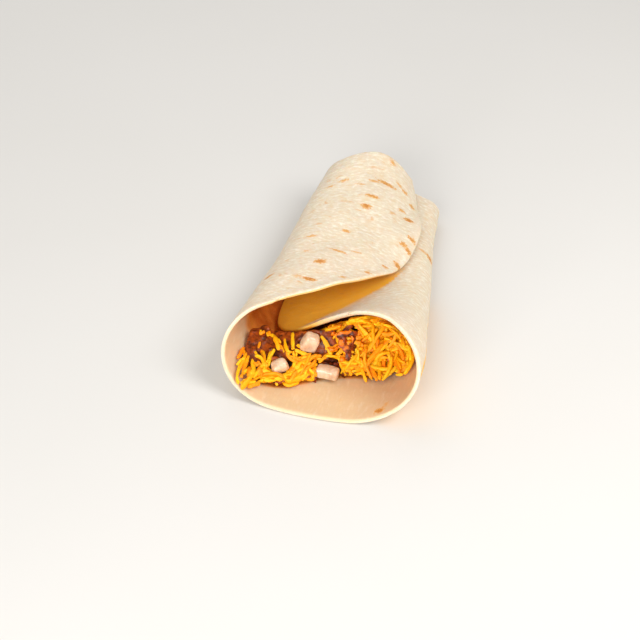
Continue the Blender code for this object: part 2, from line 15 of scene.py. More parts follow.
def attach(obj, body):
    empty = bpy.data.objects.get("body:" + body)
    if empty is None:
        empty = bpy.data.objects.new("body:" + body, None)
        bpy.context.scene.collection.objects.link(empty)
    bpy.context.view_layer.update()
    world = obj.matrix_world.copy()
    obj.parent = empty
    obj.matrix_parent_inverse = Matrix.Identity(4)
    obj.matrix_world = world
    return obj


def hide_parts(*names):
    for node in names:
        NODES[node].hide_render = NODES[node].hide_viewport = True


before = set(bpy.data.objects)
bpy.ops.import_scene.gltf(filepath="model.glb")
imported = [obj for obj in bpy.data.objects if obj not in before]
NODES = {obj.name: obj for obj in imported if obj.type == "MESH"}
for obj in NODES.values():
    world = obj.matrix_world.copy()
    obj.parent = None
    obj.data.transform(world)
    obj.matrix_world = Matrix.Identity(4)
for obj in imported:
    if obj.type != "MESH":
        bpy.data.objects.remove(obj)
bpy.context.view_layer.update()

# The view: the photograph looks down on the mouth from in front and a little to its right, from
# nine tenths of a metre away, with a long lens.
EYE = Vector((0.15486, -0.7503, 0.48745))
LOOKS_AT = Vector((-0.01552, -0.01928, 0.0))

lens = bpy.data.cameras.new("camera")
lens.lens = 101.25
lens.sensor_width = 36
lens.clip_start = 0.01
camera = bpy.data.objects.new("camera", lens)
camera.location = EYE
camera.rotation_euler = (LOOKS_AT - EYE).to_track_quat("-Z", "Y").to_euler()
bpy.context.scene.collection.objects.link(camera)
bpy.context.scene.camera = camera

# Tortilla: one soft disc of wheat dough, rolled flat and baked on a hot plate, then rolled round
# the filling. The right flap lies on the filling, the left one over it, and the far end is
# folded in. Where it lay on the plate its blisters are toasted.
RADIUS = 130.7
THICKNESS = 2.1
MIDDLE_OFFSET = 7.6
FOLD_AT = 65.0
FOLD_HEM = 6.0
FOLD_BEND = 2.5
STATIONS = np.array([-130.0, -100.0, -70.0, -30.0, 20.0, 66.0])
FLOOR_LEFT = np.array([20.1, 21.4, 22.6, 22.0, 21.2, 16.8])
TURN_LEFT = np.array([78.6, 69.3, 61.7, 55.4, 54.6, 58.4])
FLOOR_RIGHT = np.array([14.3, 19.5, 23.1, 24.3, 19.4, 18.0])
TURN_RIGHT = np.array([92.0, 72.6, 52.5, 33.0, 25.0, 17.5])
ANGLE_RIGHT = np.radians([178.0, 176.0, 190.0, 188.0, 176.0, 172.0])
CURL_OUTER = np.array([-3.9, -2.15, 0.0, 1.1, 1.18, 3.4]) / 100
CURL_INNER = np.array([3.0, 2.1, 0.83, 0.1, 0.1, 0.0]) / 100
STEEPEST_DROOP = 0.5
OUTER_DROOP = 2.0
INNER_LEAD = 0.25
LEAD_FROM = 0.9
LEAD_ENDS = -10.0
LEAD_LENGTH = 50.0
REACH_INNER = np.array([60.0, 56.0, 64.0, 59.0, 50.0, 38.0])
REACH_SOFTNESS = 10.0
TURN_SOFTNESS = 0.35
END_PEAK_AT = -8.0
END_BACK = 4.0
END_LEFT, END_LEFT_WIDTH = 9.0, 22.0
END_RIGHT, END_RIGHT_WIDTH = 12.0, 44.0
END_FROM, END_LENGTH = 5.0, 60.0
BACK_RISE = 0.3
BACK_RISE_FROM, BACK_RISE_LENGTH = 45.0, 10.0
FOLD_UNDER_ROOF = 9.5
FOLD_WALL = (3.0, 12.0)
FOLD_WALL_LEFT, FOLD_WALL_LEFT_WIDTH = 9.0, 12.0
FOLD_WALL_RIGHT, FOLD_WALL_RIGHT_WIDTH = 1.0, 9.0
FOLD_LEFT, FOLD_LEFT_TIP, FOLD_TIP_AT = 5.6, 2.8, -78.0
FOLD_RIGHT, FOLD_RIGHT_TIP = 3.0, 3.5
FOLD_LEFT_WIDTH, FOLD_RIGHT_WIDTH = 22.0, 12.0
FOLD_FADES = 0.22            # near the sheet's rims the fold runs out, over this share of the width
FOLD_LEAST = 0.22
# Soft waves of the outer flap: size, length across, length along, start
WAVES = ((0.45, 41.0, 67.0, 0.6), (0.3, 27.0, -38.0, 2.1))
WAVES_FROM = -60.0
WAVES_BUILD_OVER = 25.0
SHIFT = np.array([-0.04, -29.069, 0.0])       # from the disc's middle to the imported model's origin
COLUMNS = 214
FRONT_ROWS, BACK_ROWS, FOLD_ROWS = 112, 56, 22
RIM_STEPS = np.array([0.0, 0.1, 0.3, 0.62, 1.05, 1.6])
RIM_ROUND = 1.15
SWAY, SWAY_LENGTH = 0.28, 26.0                # the whole sheet is a little uneven
BLISTER, BLISTER_LENGTH = 0.16, 3.4           # low blisters stand out of it
DENT, DENT_LENGTH = 0.07, 9.0


def along(values, v):
    """Smooth curve through the stations' values, at the place v along the roll."""
    v = np.asarray(v, float)
    slope = np.gradient(values, STATIONS)
    i = np.clip(np.searchsorted(STATIONS, v) - 1, 0, len(STATIONS) - 2)
    step = STATIONS[i + 1] - STATIONS[i]
    t = np.clip((v - STATIONS[i]) / step, 0, 1)
    near = (1 + 2 * t) * (1 - t) ** 2 * values[i] + t * (1 - t) ** 2 * step * slope[i]
    far = t * t * (3 - 2 * t) * values[i + 1] + t * t * (t - 1) * step * slope[i + 1]
    return near + far


def ease(t):
    t = np.clip(t, 0, 1)
    return t * t * (3 - 2 * t)


def side_profile(u, flat, turn, angle, curl, droop, steps=60):
    """Follows one side of the roll for the arc length u: floor, turn, then the curling flap."""
    s = np.linspace(0, 1, steps)[:, None] * u[None, :]
    t = np.clip((s - flat) / turn, 0, 1)
    eased = t - np.sin(2 * np.pi * t) / (2 * np.pi)
    heading = angle * ((1 - TURN_SOFTNESS) * t + TURN_SOFTNESS * eased)
    past = curl * np.clip(s - flat - turn, 0, None)
    most = np.pi + droop - angle
    heading = heading + np.where(past > 0, most * np.tanh(past / most), past)
    middle = (heading[1:] + heading[:-1]) / 2
    step = u / (steps - 1)
    return (np.cos(middle) * step).sum(0), (np.sin(middle) * step).sum(0), heading[-1]


def inner_lead(u, v):
    """How far forward the inner flap has slid, at u round the roll."""
    start = LEAD_FROM * (along(FLOOR_RIGHT, v) + along(TURN_RIGHT, v))
    return INNER_LEAD * np.clip(u - start, 0, None) * ease((LEAD_ENDS - v) / LEAD_LENGTH)


def end_line(x, v):
    """How far back the roll reaches past a square end: the left and right corners come forward."""
    left = END_LEFT * ease((END_PEAK_AT - x) / END_LEFT_WIDTH)
    right = END_RIGHT * ease((x - END_PEAK_AT) / END_RIGHT_WIDTH)
    return (END_BACK - left - right) * ease((v - END_FROM) / END_LENGTH)


def rolled(u, v):
    """Place and inward normal of the dough's middle layer, u round the roll and v along it."""
    right = side_profile(
        np.abs(u), along(FLOOR_RIGHT, v), along(TURN_RIGHT, v),
        along(ANGLE_RIGHT, v), along(CURL_INNER, v), STEEPEST_DROOP,
    )
    left = side_profile(
        np.abs(u), along(FLOOR_LEFT, v), along(TURN_LEFT, v),
        np.pi + 0 * v, along(CURL_OUTER, v), OUTER_DROOP,
    )
    to_right = u >= 0
    x = np.where(to_right, right[0], -left[0])
    z = np.where(to_right, right[1], left[1]) + THICKNESS / 2
    z = z + BACK_RISE * ease((v - BACK_RISE_FROM) / BACK_RISE_LENGTH)
    heading = np.where(to_right, right[2], -left[2])
    inward = np.stack([-np.sin(heading), 0 * u, np.cos(heading)], -1)
    place = np.stack([x, v - inner_lead(u, v) + end_line(x, v), z], -1)
    wave = sum(
        size * np.sin(u / across * 2 * np.pi + v / length * 2 * np.pi + start)
        for size, across, length, start in WAVES
    )
    lifted = wave * ease((WAVES_FROM - u) / WAVES_BUILD_OVER)
    return place - inward * lifted[..., None], inward


def reach(v):
    """How far the disc runs to the left and to the right of the floor line, at v."""
    chord = np.sqrt(np.clip(RADIUS ** 2 - v ** 2, 0, None))
    inner = along(FLOOR_RIGHT, v) + along(TURN_RIGHT, v) + along(REACH_INNER, v)
    right = chord + MIDDLE_OFFSET
    return chord - MIDDLE_OFFSET, 0.5 * (right + inner - np.hypot(right - inner, REACH_SOFTNESS))


def disc_place(a, b):
    """Takes the square -1..1 to the disc as far as the fold: the front half round, the rest straight."""
    round_u = a * RADIUS * np.sqrt(1 - np.minimum(b, 0) ** 2 / 2)
    v = np.where(b < 0, b * RADIUS * np.sqrt(1 - a ** 2 / 2), b * FOLD_AT)
    chord = np.sqrt(np.clip(RADIUS ** 2 - v ** 2, 1e-9, None))
    share = np.where(b < 0, round_u / chord, a)
    left, right = reach(v)
    u = MIDDLE_OFFSET + share * np.where(share < 0, left + MIDDLE_OFFSET, right - MIDDLE_OFFSET)
    return u, v, share


def fold_depth(u):
    """How far the folded part lies inside the layer that it came from."""
    under, over = FLOOR_LEFT[-1], FLOOR_RIGHT[-1] + TURN_RIGHT[-1]
    back = np.full(60, FOLD_AT)
    flap = rolled(np.linspace(over - TURN_RIGHT[-1] / 2, float(reach(FOLD_AT)[1]), 60), back)[0]
    order = np.argsort(flap[:, 0])
    base = rolled(u, FOLD_AT + 0 * u)[0]
    roof = np.interp(base[:, 0], flap[order, 0], flap[order, 2])
    wall = np.clip(roof - FOLD_UNDER_ROOF, *FOLD_WALL)
    flat_floor = ease((u + under + FOLD_WALL_LEFT) / FOLD_WALL_LEFT_WIDTH)
    flat_floor *= ease((FLOOR_RIGHT[-1] + FOLD_WALL_RIGHT - u) / FOLD_WALL_RIGHT_WIDTH)
    left_side = FOLD_LEFT + (FOLD_LEFT_TIP - FOLD_LEFT) * ease((FOLD_TIP_AT - u) / FOLD_LEFT_WIDTH)
    right_side = FOLD_RIGHT + (FOLD_RIGHT_TIP - FOLD_RIGHT) * ease((u - over) / FOLD_RIGHT_WIDTH)
    side = np.where(u < 0, left_side, right_side)
    return wall * flat_floor + side * (1 - flat_floor)


def fold_place(u, share, part):
    """The folded end: round the crease, in across the end of the roll, and forward again."""
    base, inward = rolled(u, FOLD_AT + 0 * u)
    depth = fold_depth(u)
    bend = np.minimum(depth / 2, FOLD_BEND)
    wall = depth - 2 * bend
    quarter = bend * np.pi / 2
    fade = FOLD_LEAST + (1 - FOLD_LEAST) * ease((1 - np.abs(share)) / FOLD_FADES)
    s = part * fade * (2 * quarter + wall + FOLD_HEM)
    first = np.clip(s / quarter, 0, 1) * np.pi / 2
    straight = np.clip(s - quarter, 0, wall)
    second = np.clip((s - quarter - wall) / quarter, 0, 1) * np.pi / 2
    hem = np.clip(s - 2 * quarter - wall, 0, None)
    back = bend * (np.sin(first) - (1 - np.cos(second))) - hem
    inside = bend * (1 - np.cos(first)) + straight + bend * np.sin(second)
    return base + inward * inside[:, None] + np.stack([0 * back, back, 0 * back], -1), s


def crowded(count):
    """Places from -1 to 1 that lie close together at both ends, which are rims of the sheet."""
    close = 1 - RIM_STEPS / RADIUS
    between = np.linspace(-close[-1], close[-1], count + 1 - 2 * (len(close) - 1))
    return np.concatenate([-close[:-1], between, close[::-1][1:]])


def points_of(mesh):
    flat = np.empty(len(mesh.vertices) * 3, np.float32)
    mesh.vertices.foreach_get("co", flat)
    return flat.reshape(-1, 3).astype(float)


def place_points(mesh, points):
    mesh.vertices.foreach_set("co", np.ascontiguousarray(points, np.float32).ravel())
    mesh.update()


def normals_of(mesh):
    flat = np.empty(len(mesh.vertices) * 3, np.float32)
    mesh.vertex_normals.foreach_get("vector", flat)
    return flat.reshape(-1, 3).astype(float)


def cloudy(points, size, octaves=3, seed=0.0):
    """Soft noise from -1 to 1 at each point, with clouds of the given size."""
    at = np.asarray(points) / size + seed
    return np.array([noise.fractal(Vector(p), 1.0, 2.0, octaves) for p in at])


def select_only(thing):
    bpy.ops.object.select_all(action="DESELECT")
    thing.select_set(True)
    bpy.context.view_layer.objects.active = thing


def add_attribute(mesh, name, values):
    layer = mesh.attributes.new(name, "FLOAT", "POINT")
    layer.data.foreach_set("value", np.ascontiguousarray(values, np.float32))


def smooth(mesh):
    mesh.polygons.foreach_set("use_smooth", np.ones(len(mesh.polygons), bool))
    mesh.update()


def linear(red, green, blue):
    """A colour given as it looks on a screen, 0 to 255, as the light that a surface sends back."""
    parts = [c / 255 for c in (red, green, blue)]
    return (*[c / 12.92 if c <= 0.04045 else ((c + 0.055) / 1.055) ** 2.4 for c in parts], 1.0)


class Shade:
    """One socket of a material's nodes. Sums on it add Math nodes."""

    def __init__(self, tree, socket=None):
        self.tree, self.socket = tree, socket

    def node(self, kind, settings, given, out=0):
        """Adds a node: its settings first, then the values or the links of its sockets."""
        made = self.tree.nodes.new("ShaderNode" + kind)
        for name, value in settings.items():
            setattr(made, name, value)
        for name, value in given.items():
            if isinstance(value, Shade):
                self.tree.links.new(value.socket, made.inputs[name])
            else:
                made.inputs[name].default_value = value
        return Shade(self.tree, made.outputs[out])

    def sum(self, operation, *terms):
        return self.node("Math", {"operation": operation}, dict(enumerate(terms)))

    def __add__(self, other):
        return self.sum("ADD", self, other)

    def __radd__(self, other):
        return self.sum("ADD", other, self)

    def __sub__(self, other):
        return self.sum("SUBTRACT", self, other)

    def __rsub__(self, other):
        return self.sum("SUBTRACT", other, self)

    def __mul__(self, other):
        return self.sum("MULTIPLY", self, other)

    def __rmul__(self, other):
        return self.sum("MULTIPLY", other, self)

    def most(self, other):
        return self.sum("MAXIMUM", self, other)

    def between(self, low, high):
        """0 below low, 1 above high, with a soft change between them."""
        return self.node(
            "MapRange", {"interpolation_type": "SMOOTHSTEP"},
            {"Value": self, "From Min": low, "From Max": high},
        )

    def tint(self, other, share):
        """This colour turned into the other by the share."""
        return self.node("Mix", {"data_type": "RGBA"}, {0: share, 6: self, 7: other}, 2)

    def stretched(self, sizes):
        """This place measured in lengths of its own, so that a pattern on it is drawn out."""
        return self.node("Mapping", {"vector_type": "TEXTURE"}, {"Vector": self, "Scale": sizes})

    def clouds(self, scale, detail=3.0, rough=0.55, twist=0.0):
        return self.node(
            "TexNoise", {},
            {"Vector": self, "Scale": scale, "Detail": detail, "Roughness": rough, "Distortion": twist},
        )

    def attribute(self, name):
        return self.node("Attribute", {"attribute_name": name}, {}, 2)

    def bumped(self, height, depth):
        return self.node("Bump", {}, {"Height": height, "Distance": depth, "Strength": 1.0})

    def colour(self, value):
        """One even colour to start from."""
        made = self.node("RGB", {}, {})
        made.socket.default_value = value
        return made


def new_material(name, **values):
    """A material whose shader has these fixed values, and a start for its nodes."""
    made = bpy.data.materials.new(name)
    made.use_nodes = True
    shader = made.node_tree.nodes["Principled BSDF"]
    for socket, value in values.items():
        shader.inputs[socket.replace("_", " ")].default_value = value
    return made, shader, Shade(made.node_tree)


def give(shader, **looks):
    for socket, shade in looks.items():
        shade.tree.links.new(shade.socket, shader.inputs[socket.replace("_", " ")])


# The filling's open face, which the stains on the dough follow too
FOOT_AT = -105.0             # where it meets the floor, on the middle line
FOOT_SLANT = 0.33            # the foot runs back to the right by this much for each millimetre
FACE_SLOPE = 0.72            # the face leans back by this much for each millimetre up
SPILL = 5.0                  # the cheese at the left of the foot has run forward this far
SPILL_AT, SPILL_WIDTH = -21.0, 10.0
SPILL_TOP, SPILL_FADE = 13.0, 10.0
HOLLOW = 2.4                 # at the left the face recedes by this much more for each millimetre up
HOLLOW_FROM = 9.0            # above here, and higher up towards the middle
HOLLOW_RISES = 0.45
HOLLOW_RISES_FROM, HOLLOW_RISES_OVER = -30.0, 14.0
HOLLOW_RIGHT_END, HOLLOW_WIDTH = -6.0, 16.0
LUMPS = ((0.8, 5.3, 0.6, 4.1, 1.3), (0.4, 2.9, 1.57, 3.3, 0.0))


def face_at(x, z):
    """How far back the filling's face lies at the place x across and the height z."""
    rise = HOLLOW_RISES * np.clip(x - HOLLOW_RISES_FROM, 0, HOLLOW_RISES_OVER)
    above = np.clip(z - HOLLOW_FROM - rise, 0, None)
    hollow = HOLLOW * above * ease((HOLLOW_RIGHT_END - x) / HOLLOW_WIDTH)
    lumps = sum(
        size * np.sin(x / across + start_x) * np.sin(z / up + start_z)
        for size, across, start_x, up, start_z in LUMPS
    )
    spill = SPILL * np.exp(-((x - SPILL_AT) / SPILL_WIDTH) ** 2) * ease((SPILL_TOP - z) / SPILL_FADE)
    return FOOT_AT + FOOT_SLANT * x + FACE_SLOPE * z + hollow + lumps - spill


rows = FRONT_ROWS + BACK_ROWS + FOLD_ROWS
bpy.ops.object.select_all(action="DESELECT")
bpy.ops.mesh.primitive_grid_add(x_subdivisions=COLUMNS, y_subdivisions=rows, size=2)
tortilla = bpy.context.active_object
tortilla.name = "rolled_tortilla"
sheet = tortilla.data
square = points_of(sheet)
column = np.rint((square[:, 0] + 1) / 2 * COLUMNS).astype(int)
row = np.rint((square[:, 1] + 1) / 2 * rows).astype(int)
a = crowded(COLUMNS)[column]
front = crowded(2 * FRONT_ROWS)[:FRONT_ROWS + 1]
front[-1] = 0
b = np.where(row <= FRONT_ROWS, front[np.minimum(row, FRONT_ROWS)], (row - FRONT_ROWS) / BACK_ROWS)
u, v, share = disc_place(a, np.clip(b, -1, 1))
place, inward = rolled(u, v)
folded = row > FRONT_ROWS + BACK_ROWS
part = (row[folded] - FRONT_ROWS - BACK_ROWS) / FOLD_ROWS
place[folded], fold_length = fold_place(u[folded], share[folded], part)
v[folded] += fold_length
flat = np.stack([u, v], -1)

# the dough is never quite even: its own weight pulls it, but not where the fold holds it
on_disc = np.stack([u, v, 0 * u], -1)
sway = SWAY * cloudy(on_disc, SWAY_LENGTH, 2, 3.1) * (1 - ease((v - FOLD_AT + 8) / 8))
place -= inward * sway[:, None]
place_points(sheet, (place - SHIFT) / 1000)
uv_map = sheet.uv_layers[0] if sheet.uv_layers else sheet.uv_layers.new(name="disc")
uv_map.name = "disc"
corner_points = np.empty(len(sheet.loops), np.int32)
sheet.loops.foreach_get("vertex_index", corner_points)
uv_map.data.foreach_set("uv", np.ascontiguousarray(flat[corner_points] / 1000, np.float32).ravel())

rim_points = np.flatnonzero((column == 0) | (column == COLUMNS) | (row == 0) | (row == rows))
rim_tree = kdtree.KDTree(len(rim_points))
for index, point in enumerate(rim_points):
    rim_tree.insert((u[point], v[point], 0), index)
rim_tree.balance()
from_rim = np.array([rim_tree.find((p, q, 0))[2] for p, q in flat])
rounded = np.sqrt(np.clip(1 - np.clip(1 - from_rim / RIM_ROUND, 0, 1) ** 2, 0.02, 1))
body = tortilla.vertex_groups.new(name="thickness")
for index, thick in enumerate(rounded):
    body.add([index], float(thick), "REPLACE")
shell = tortilla.modifiers.new("thickness", "SOLIDIFY")
shell.thickness = THICKNESS / 1000
shell.offset = 0
shell.use_even_offset = True
shell.vertex_group = "thickness"
select_only(tortilla)
bpy.ops.object.modifier_apply(modifier="thickness")
sheet = tortilla.data
doubled = len(sheet.vertices) // 2
points = points_of(sheet)
normal = normals_of(sheet)
way = (points[:doubled] - (place - SHIFT) / 1000) * inward
first_inside = np.median(way.sum(1)) > 0
inside = np.zeros(2 * doubled)
inside[:doubled] = first_inside
inside[doubled:] = not first_inside
rim = np.tile(from_rim, 2)
swelling = cloudy(on_disc * (0.62, 1.0, 1.0), BLISTER_LENGTH, 2, 9.7)
swelling = np.tile(np.clip(swelling, -0.25, 1.0), 2) * (1 - 0.6 * inside)
relief = BLISTER * swelling + DENT * np.tile(cloudy(on_disc, DENT_LENGTH, 2, 5.5), 2)
relief *= ease((rim - 0.4) / 1.6) * (1 - 0.7 * ease((np.tile(v, 2) - FOLD_AT + 4) / 6))
points += normal * relief[:, None] / 1000
place_points(sheet, points)
smooth(sheet)

# Where oil and sauce from the filling have soaked into the dough: where that starts in mm, and over
# how many it builds up, behind the filling's face and on the left wall; and the same for the golden
# parts, which are painted warm shade under and inside the flaps
SOAKED_FROM, SOAKED_OVER = -1.2, 5.5
UP_LEFT_FROM, UP_LEFT_OVER = -30.0, 8.0
UP_FROM, UP_OVER = 4.0, 4.0
WALL_FROM, WALL_OVER, WALL_WANDERS = -98.0, 24.0, 5.0
ROOF_FROM, ROOF_OVER, ROOF_WARM_SHADE = -74.0, 14.0, 0.6
COVERED_FROM, COVERED_OVER = 0.42, 0.32
WARM_SHADE_FROM, WARM_SHADE_OVER = -12.0, 22.0
LIP_FROM, LIP_OVER, LIP_WARM_SHADE, LIP_WIDTH = 102.0, 12.0, 0.9, 2.5

here = points * 1000 + SHIFT
behind_face = here[:, 1] - face_at(here[:, 0], here[:, 2])
soaked = ease((behind_face - SOAKED_FROM) / SOAKED_OVER)
up_left = ease((UP_LEFT_FROM - here[:, 0]) / UP_LEFT_OVER) * ease((here[:, 2] - UP_FROM) / UP_OVER)
wall_stain = ease((here[:, 1] - WALL_FROM + WALL_WANDERS * cloudy(here, 9.0, 2, 2.2)) / WALL_OVER)
roof = ease((ROOF_FROM - np.tile(u, 2)) / ROOF_OVER)
stain = (soaked * (1 - up_left) + wall_stain * up_left) * (1 - roof) * inside

# Painted shade: where the inner flap is covered by the outer one, it is turned golden for the warm
# light in the shade there. Rays that start just off it, up and mostly to the left and the front, tell
# how far it is covered
RAY = 0.06
OFF_DOUGH = 0.0004
dough_tree = bvhtree.BVHTree.FromObject(tortilla, bpy.context.evaluated_depsgraph_get())
covered = np.zeros(len(points))
draw = random.Random(3)
ways = [
    Vector((draw.uniform(-0.75, 0.1), draw.uniform(-0.55, 0.15), 1.0)).normalized() for _ in range(12)
]
for index in np.flatnonzero((inside == 0) & (np.tile(u, 2) > 30) & (here[:, 1] < 20)):
    lifted = Vector(points[index] + OFF_DOUGH * normal[index])
    hits = sum(dough_tree.ray_cast(lifted, way, RAY)[0] is not None for way in ways)
    covered[index] = hits / len(ways)
painted_warm_shade = ease((covered - COVERED_FROM) / COVERED_OVER) * ease((WARM_SHADE_FROM - here[:, 1]) / WARM_SHADE_OVER)
# the underside of the outer flap's far side is painted golden too: painted warm shade
painted_warm_shade = (painted_warm_shade + ROOF_WARM_SHADE * roof * inside).clip(0, 1)
# and the inside of the inner flap's lip near its rim: painted warm shade and painted sheen
lip_warm_shade = LIP_WARM_SHADE * ease((np.tile(u, 2) - LIP_FROM) / LIP_OVER) * np.exp(-rim / LIP_WIDTH)
painted_warm_shade = painted_warm_shade + (1 - painted_warm_shade) * lip_warm_shade
add_attribute(sheet, "inside", inside)
add_attribute(sheet, "rim", np.exp(-rim / 1.1))
add_attribute(sheet, "stain", stain)
add_attribute(sheet, "painted_warm_shade", painted_warm_shade)

CREAM = linear(229, 211, 186)
PALE = linear(244, 232, 213)
DOUGH_TAN = linear(229, 200, 158)
INNER_CREAM = linear(222, 189, 148)
RIM_CREAM = linear(228, 210, 184)
TOAST = linear(226, 162, 78)
DARK_TOAST = linear(188, 110, 34)
# colour of the painted warm shade under the flaps
WARM_SHADE_GOLD = linear(255, 190, 46)
OIL_ORANGE = linear(240, 150, 30)
OIL_BROWN = linear(168, 68, 10)

# Toasted places: u and v in mm on the disc, half length and half width, turn in degrees, strength
TOASTED = (
    (-91.3, 15.1, 2.9, 1.7, 5, 1.0), (-91.6, 24.5, 4.4, 1.2, 0, 0.75), (-94.3, 41.4, 6.5, 1.3, 4, 0.8),
    (-88.0, 39.0, 4.0, 1.0, -6, 0.55), (-82.3, 34.2, 3.5, 1.0, 10, 0.4),
    (-104.4, 44.5, 2.5, 1.4, 60, 0.6), (-114.0, 18.7, 3.2, 1.6, 12, 1.0),
    (-111.3, 37.2, 2.2, 1.5, 0, 0.7), (-108.4, 25.2, 2.6, 1.2, 20, 0.6),
    (-87.6, -12.3, 2.8, 1.3, 18, 0.6), (-72.9, -23.1, 4.2, 1.1, -24, 0.45),
    (-87.4, -49.2, 3.2, 1.8, -8, 0.9), (-75.9, -38.7, 1.5, 0.9, 0, 0.5),
    (-90.1, -34.3, 5.6, 0.9, 10, 0.65), (-98.0, -31.0, 5.0, 0.7, 6, 0.45),
    (-119.6, 0.8, 3.4, 1.3, 30, 0.8), (-116.3, -6.6, 2.3, 1.5, -30, 0.75),
    (-119.9, -9.3, 3.6, 1.2, 38, 0.8), (-114.3, -33.1, 2.2, 1.1, 20, 0.75),
    (-119.1, -24.9, 4.2, 1.2, 45, 0.9), (-110.7, -47.4, 2.8, 0.9, 30, 0.75),
    (-103.5, -60.4, 2.4, 1.2, 20, 0.5), (-90.2, -68.1, 4.2, 1.3, 8, 1.0),
    (-84.2, -67.7, 3.0, 2.0, -20, 0.35), (-69.0, -65.0, 3.4, 1.2, -36, 0.7),
    (-72.6, 38.2, 3.4, 1.4, -30, 0.55), (-67.5, 32.5, 3.0, 1.2, -40, 0.5),
    (-80.6, 15.7, 5.0, 1.5, 0, 0.3), (38.9, 0.8, 3.2, 1.6, 40, 0.9), (43.1, 2.5, 3.0, 1.0, 40, 0.5),
    (-90.8, 62.5, 3.6, 1.4, 40, 0.5), (-100.0, 47.0, 4.0, 0.9, 35, 0.45),
    (-83.0, 51.8, 3.0, 1.2, 0, 0.3), (-64.0, 41.4, 2.4, 1.1, -50, 0.4),
    (-45.0, 10.0, 4.0, 1.8, 10, 0.7), (-38.0, -30.0, 3.0, 2.0, 0, 0.6),
    (-20.0, 42.0, 5.0, 2.4, 12, 0.8), (6.0, -20.0, 4.2, 2.6, 60, 0.7), (24.0, 38.0, 3.4, 1.8, -14, 0.6),
    (33.0, -52.0, 3.6, 1.5, 70, 0.45), (60.0, 28.0, 3.0, 1.4, 0, 0.5),
    (-52.0, -72.0, 3.0, 1.3, 12, 0.4), (12.0, 18.0, 5.5, 2.0, -20, 0.7),
    (-30.0, -84.0, 3.0, 1.4, 25, 0.35), (-52.0, 52.0, 4.2, 1.4, -20, 0.55),
)
# The same on the side that faces in
TOASTED_INSIDE = (
    (30.4, -123.4, 2.4, 2.0, 80, 1.0), (33.0, -119.0, 1.8, 2.6, 0, 0.35),
    (-37.0, -84.6, 3.0, 1.6, 70, 0.4), (-39.1, -100.0, 4.6, 1.6, 80, 0.4),
    (10.0, -116.0, 3.4, 1.0, 85, 0.18),
)


def toasted_at(spots):
    """How far each place on the disc is from the nearest spot, in that spot's size, and its strength."""
    far, strong = np.full(doubled, 9.0), np.zeros(doubled)
    for across, lengthwise, long, wide, turn, strength in spots:
        du, dv = u - across, v - lengthwise
        c, s = math.cos(math.radians(turn)), math.sin(math.radians(turn))
        apart = np.hypot((du * c + dv * s) / (0.85 * long), (dv * c - du * s) / (1.15 * wide))
        strong = np.where(apart < far, strength, strong)
        far = np.minimum(far, apart)
    return far, strong


sides = [toasted_at(TOASTED_INSIDE if side else TOASTED) for side in (first_inside, not first_inside)]
add_attribute(sheet, "from_toast", np.concatenate([sides[0][0], sides[1][0]]))
add_attribute(sheet, "toast", np.concatenate([sides[0][1], sides[1][1]]))

dough, dough_shader, start = new_material(
    "tortilla", Subsurface_Weight=0.3, Subsurface_Scale=0.006, Specular_IOR_Level=0.25,
)
dough_shader.inputs["Subsurface Radius"].default_value = (1.0, 0.55, 0.3)
disc = start.node("UVMap", {"uv_map": "disc"}, {})
wobble = disc.clouds(900.0, 2.0)
inner_side = start.attribute("inside")
streaky = disc.stretched((1.7, 1.0, 1.0))
lengthwise = disc.stretched((1.0, 4.0, 1.0))
mottle = streaky.clouds(560.0, 5.0, 0.68)
patches = disc.clouds(95.0, 3.0, 0.5)
fine = disc.clouds(1900.0, 2.0, 0.6)
faint_spots = streaky.clouds(260.0, 2.0, 0.5, 0.6).between(0.60, 0.74) * patches.between(0.42, 0.6)
specks = streaky.clouds(760.0, 1.0, 0.5).between(0.66, 0.78) * patches.between(0.38, 0.62)
ragged = start.attribute("from_toast") + (wobble - 0.5) * 2.4
toast = faint_spots.most(specks) * 0.34 * (1 - inner_side)
toast = toast.most(ragged.between(1.6, 0.2) * start.attribute("toast"))
outer = start.colour(CREAM)
outer = outer.tint(PALE, mottle.between(0.48, 0.66)).tint(DOUGH_TAN, mottle.between(0.49, 0.34) * 0.7)
outer = outer.tint(DOUGH_TAN, patches.between(0.5, 0.75) * 0.3)
inner = start.colour(INNER_CREAM)
grain = lengthwise.clouds(420.0, 4.0, 0.6)
inner = inner.tint(PALE, grain.between(0.5, 0.8) * 0.35).tint(DOUGH_TAN, grain.between(0.48, 0.3) * 0.6)
skin = outer.tint(inner, inner_side)
skin = skin.tint(RIM_CREAM, start.attribute("rim") * 0.5)
# painted shade: golden where the flaps cover or overhang the dough, for the warm light in their shade
skin = skin.tint(WARM_SHADE_GOLD, start.attribute("painted_warm_shade") * (0.8 + 0.3 * mottle))
stained = start.attribute("stain")
oily = (stained + (patches - 0.5) * 0.9 + (mottle - 0.5) * 0.5).between(0.3, 0.85) * stained
skin = skin.tint(OIL_ORANGE, oily * 0.85).tint(OIL_BROWN, (oily * (patches + 0.1)).between(0.35, 0.8) * 0.7)
skin = skin.tint(TOAST, toast.between(0.04, 0.55) * 0.9).tint(DARK_TOAST, toast.between(0.45, 1.0) * 0.7)
height = mottle * 0.5 + fine * 0.22 + toast * 0.4
give(
    dough_shader, Base_Color=skin, Roughness=0.62 - 0.3 * oily - 0.1 * fine,
    Normal=start.bumped(height, 0.00022),
)
sheet.materials.clear()
sheet.materials.append(dough)
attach(tortilla, "root")
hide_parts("tortilla")

# Refried beans: pinto beans mashed with fat into a thick, moist, dark red-brown paste, with skins
# and halves of beans left in it. The paste is spread down the roll, and its open face is lumpy.
BEAN_COUNT = 74
BEAN_SIZES = ((5.0, 2.6), (3.4, 2.0), (2.6, 1.6))
BEAN_ACROSS, BEAN_HEIGHTS = (-36, 7.5), (9, 33)
BEAN_CLEAR = 3.4             # a bean's middle stays this far off the dough
ROOM_MIDDLE = (3.0, 7.0)     # across the roll and above the floor
BEANS_VOXEL = 0.68
FACE_DEEP, FACE_FADES = 9.0, 6.0              # the face's roughness ends this far behind it, and fades


